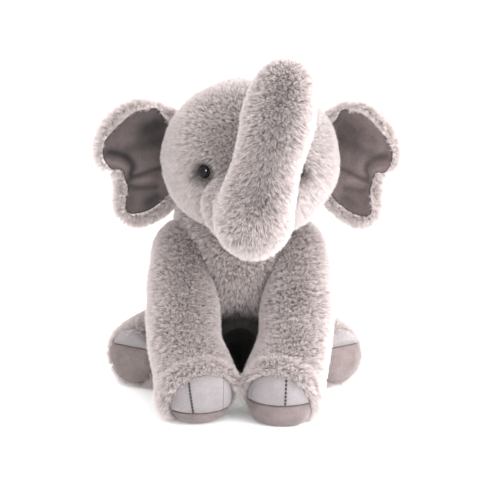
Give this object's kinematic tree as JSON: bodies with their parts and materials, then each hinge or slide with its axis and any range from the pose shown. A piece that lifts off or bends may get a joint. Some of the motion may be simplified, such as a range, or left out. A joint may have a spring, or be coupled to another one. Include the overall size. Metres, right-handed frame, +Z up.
{
  "type": "stuffed elephant",
  "caption": "Seated plush elephant with raised trunk, wide ears with smooth linings, bead eyes, and soft sewn joints that spring back",
  "frame": {"origin": "on the ground under the middle of the whole seated toy, half way across its ears and half way from its feet to its tail", "axes": "+Z up, -Y the way the elephant faces, +X the elephant's own left"},
  "size_m": [0.2354, 0.2228, 0.2691],
  "materials": {
    "fur": "matte",
    "lining": "satin",
    "sole": "matte",
    "nail": "matte",
    "thread": "matte",
    "stuffing": "matte",
    "bead": "gloss",
    "washer": "matte"
  },
  "bodies": {
    "neck": {"neck_stuffing": "stuffing"},
    "torso": {"torso_skin": "fur", "torso_stuffing": "stuffing"},
    "head": {"head_skin": "fur", "head_stuffing": "stuffing", "eye_right": "bead", "eye_washer_right": "washer", "eye_left": "bead", "eye_washer_left": "washer"},
    "ear_right": {"ear_back_right": "fur", "ear_lining_right": "lining"},
    "ear_left": {"ear_back_left": "fur", "ear_lining_left": "lining"},
    "trunk_lower": {"trunk_lower_skin": "fur", "trunk_lower_stuffing": "stuffing"},
    "trunk_upper": {"trunk_upper_skin": "fur", "trunk_upper_stuffing": "stuffing"},
    "front_leg_right": {"front_leg_skin_right": "fur", "front_leg_stuffing_right": "stuffing", "front_sole_right": "sole", "front_nail_line_inner_right": "thread", "front_nail_line_outer_right": "thread", "front_nail_panel_right": "nail"},
    "front_leg_left": {"front_leg_skin_left": "fur", "front_leg_stuffing_left": "stuffing", "front_sole_left": "sole", "front_nail_line_inner_left": "thread", "front_nail_line_outer_left": "thread", "front_nail_panel_left": "nail"},
    "hind_leg_right": {"hind_leg_skin_right": "fur", "hind_leg_stuffing_right": "stuffing", "hind_sole_right": "sole", "hind_nail_panel_right": "nail"},
    "hind_leg_left": {"hind_leg_skin_left": "fur", "hind_leg_stuffing_left": "stuffing", "hind_sole_left": "sole", "hind_nail_panel_left": "nail"},
    "tail": {"tail_skin": "fur", "tail_tuft": "fur"}
  },
  "joints": [
    {"name": "head_turn", "type": "hinge", "parent": "torso", "child": "neck", "pos_m": [0, 0.006, 0.181], "axis": [0, 0, 1], "range_deg": [-30, 30], "stiffness_Nm_per_rad": 1.2},
    {"name": "head_nod", "type": "hinge", "parent": "neck", "child": "head", "pos_m": [0, 0.006, 0.181], "axis": [-1, 0, 0], "range_deg": [-8, 12], "stiffness_Nm_per_rad": 3},
    {"name": "ear_flap_left", "type": "hinge", "parent": "head", "child": "ear_left", "pos_m": [0.052, 0.016, 0.181], "axis": [0, 0, -1], "range_deg": [-25, 30], "stiffness_Nm_per_rad": 0.05},
    {"name": "ear_flap_right", "type": "hinge", "parent": "head", "child": "ear_right", "pos_m": [-0.052, 0.016, 0.181], "axis": [0, 0, 1], "range_deg": [-25, 30], "stiffness_Nm_per_rad": 0.05},
    {"name": "trunk_pitch", "type": "hinge", "parent": "head", "child": "trunk_lower", "pos_m": [0, -0.043, 0.162], "axis": [-1, 0, 0], "range_deg": [-15, 4], "stiffness_Nm_per_rad": 1.5},
    {"name": "trunk_bend", "type": "hinge", "parent": "trunk_lower", "child": "trunk_upper", "pos_m": [0.003, -0.081, 0.16], "axis": [-1, 0, 0], "range_deg": [-25, 4], "stiffness_Nm_per_rad": 1},
    {"name": "front_leg_swing_left", "type": "hinge", "parent": "torso", "child": "front_leg_left", "pos_m": [0.033, 0.008, 0.093], "axis": [-1, 0, 0], "range_deg": [-4, 30], "stiffness_Nm_per_rad": 1},
    {"name": "front_leg_swing_right", "type": "hinge", "parent": "torso", "child": "front_leg_right", "pos_m": [-0.049, 0.008, 0.093], "axis": [-1, 0, 0], "range_deg": [-4, 30], "stiffness_Nm_per_rad": 1},
    {"name": "hind_leg_splay_left", "type": "hinge", "parent": "torso", "child": "hind_leg_left", "pos_m": [0.034, 0.044, 0.029], "axis": [0, 0, 1], "range_deg": [-4, 20], "stiffness_Nm_per_rad": 0.6},
    {"name": "hind_leg_splay_right", "type": "hinge", "parent": "torso", "child": "hind_leg_right", "pos_m": [-0.05, 0.044, 0.029], "axis": [0, 0, -1], "range_deg": [-4, 20], "stiffness_Nm_per_rad": 0.6},
    {"name": "tail_lift", "type": "hinge", "parent": "torso", "child": "tail", "pos_m": [-0.008, 0.08, 0.058], "axis": [1, 0, 0], "range_deg": [-5, 60], "stiffness_Nm_per_rad": 0.02}
  ]
}
